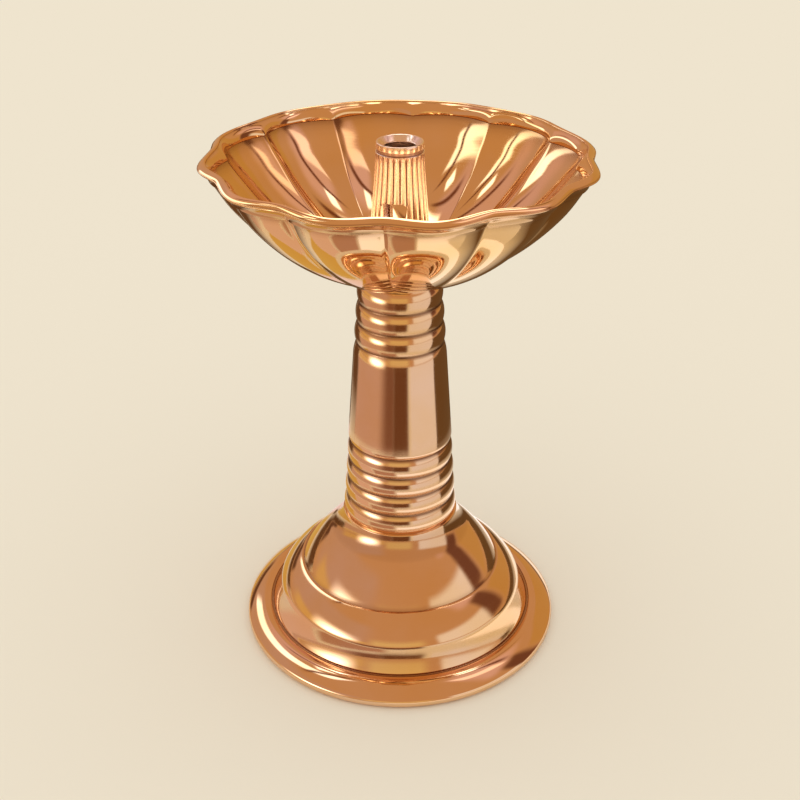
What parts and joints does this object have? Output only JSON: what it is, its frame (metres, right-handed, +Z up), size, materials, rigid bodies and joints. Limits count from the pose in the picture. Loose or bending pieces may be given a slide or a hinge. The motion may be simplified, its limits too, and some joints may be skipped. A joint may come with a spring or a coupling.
{
  "type": "butter lamp",
  "caption": "Polished brass butter lamp: scalloped bowl with a ribbed lift-out wick holder, on a beaded stem and a hollow bell foot; the bowl unscrews from the stem.",
  "frame": {"origin": "on the lamp's axis, on the surface that the foot stands on", "axes": "+Z up along the lamp's axis; -Y towards the viewer of the picture, +X to that viewer's right"},
  "size_m": [0.0798, 0.0798, 0.116],
  "materials": {
    "base_brass": "polished casting",
    "stem_brass": "turned and polished",
    "bowl_brass": "polished casting",
    "holder_brass": "polished casting",
    "fitting_brass": "turned",
    "seal_copper": "soft annealed copper",
    "fastener_steel": "zinc plated"
  },
  "bodies": {
    "stand": {"base_bell": "base_brass", "stem": "stem_brass", "stem_bolt": "fastener_steel", "flat_washer": "fastener_steel", "spring_washer": "fastener_steel"},
    "seat": {"seat_washer": "fitting_brass"},
    "bowl": {"bowl": "bowl_brass", "bowl_stud": "fitting_brass", "stud_nut": "fitting_brass", "sealing_washer": "seal_copper"},
    "wick_holder": {"wick_holder": "holder_brass"}
  },
  "joints": [
    {"name": "bowl_turn", "type": "hinge", "parent": "stand", "child": "seat", "pos_m": [0, 0, 0.0864], "axis": [0, 0, 1], "range_deg": [0, 2880]},
    {"name": "bowl_rise", "type": "slide", "parent": "seat", "child": "bowl", "axis": [0, 0, 1], "range_m": [0, 0.008]},
    {"name": "wick_holder_lift", "type": "slide", "parent": "bowl", "child": "wick_holder", "axis": [0, 0, 1], "range_m": [0, 0.03]}
  ],
  "couplings": [
    {"joint": "bowl_rise", "follows": "bowl_turn", "m_per_rad": 0.00015915}
  ]
}
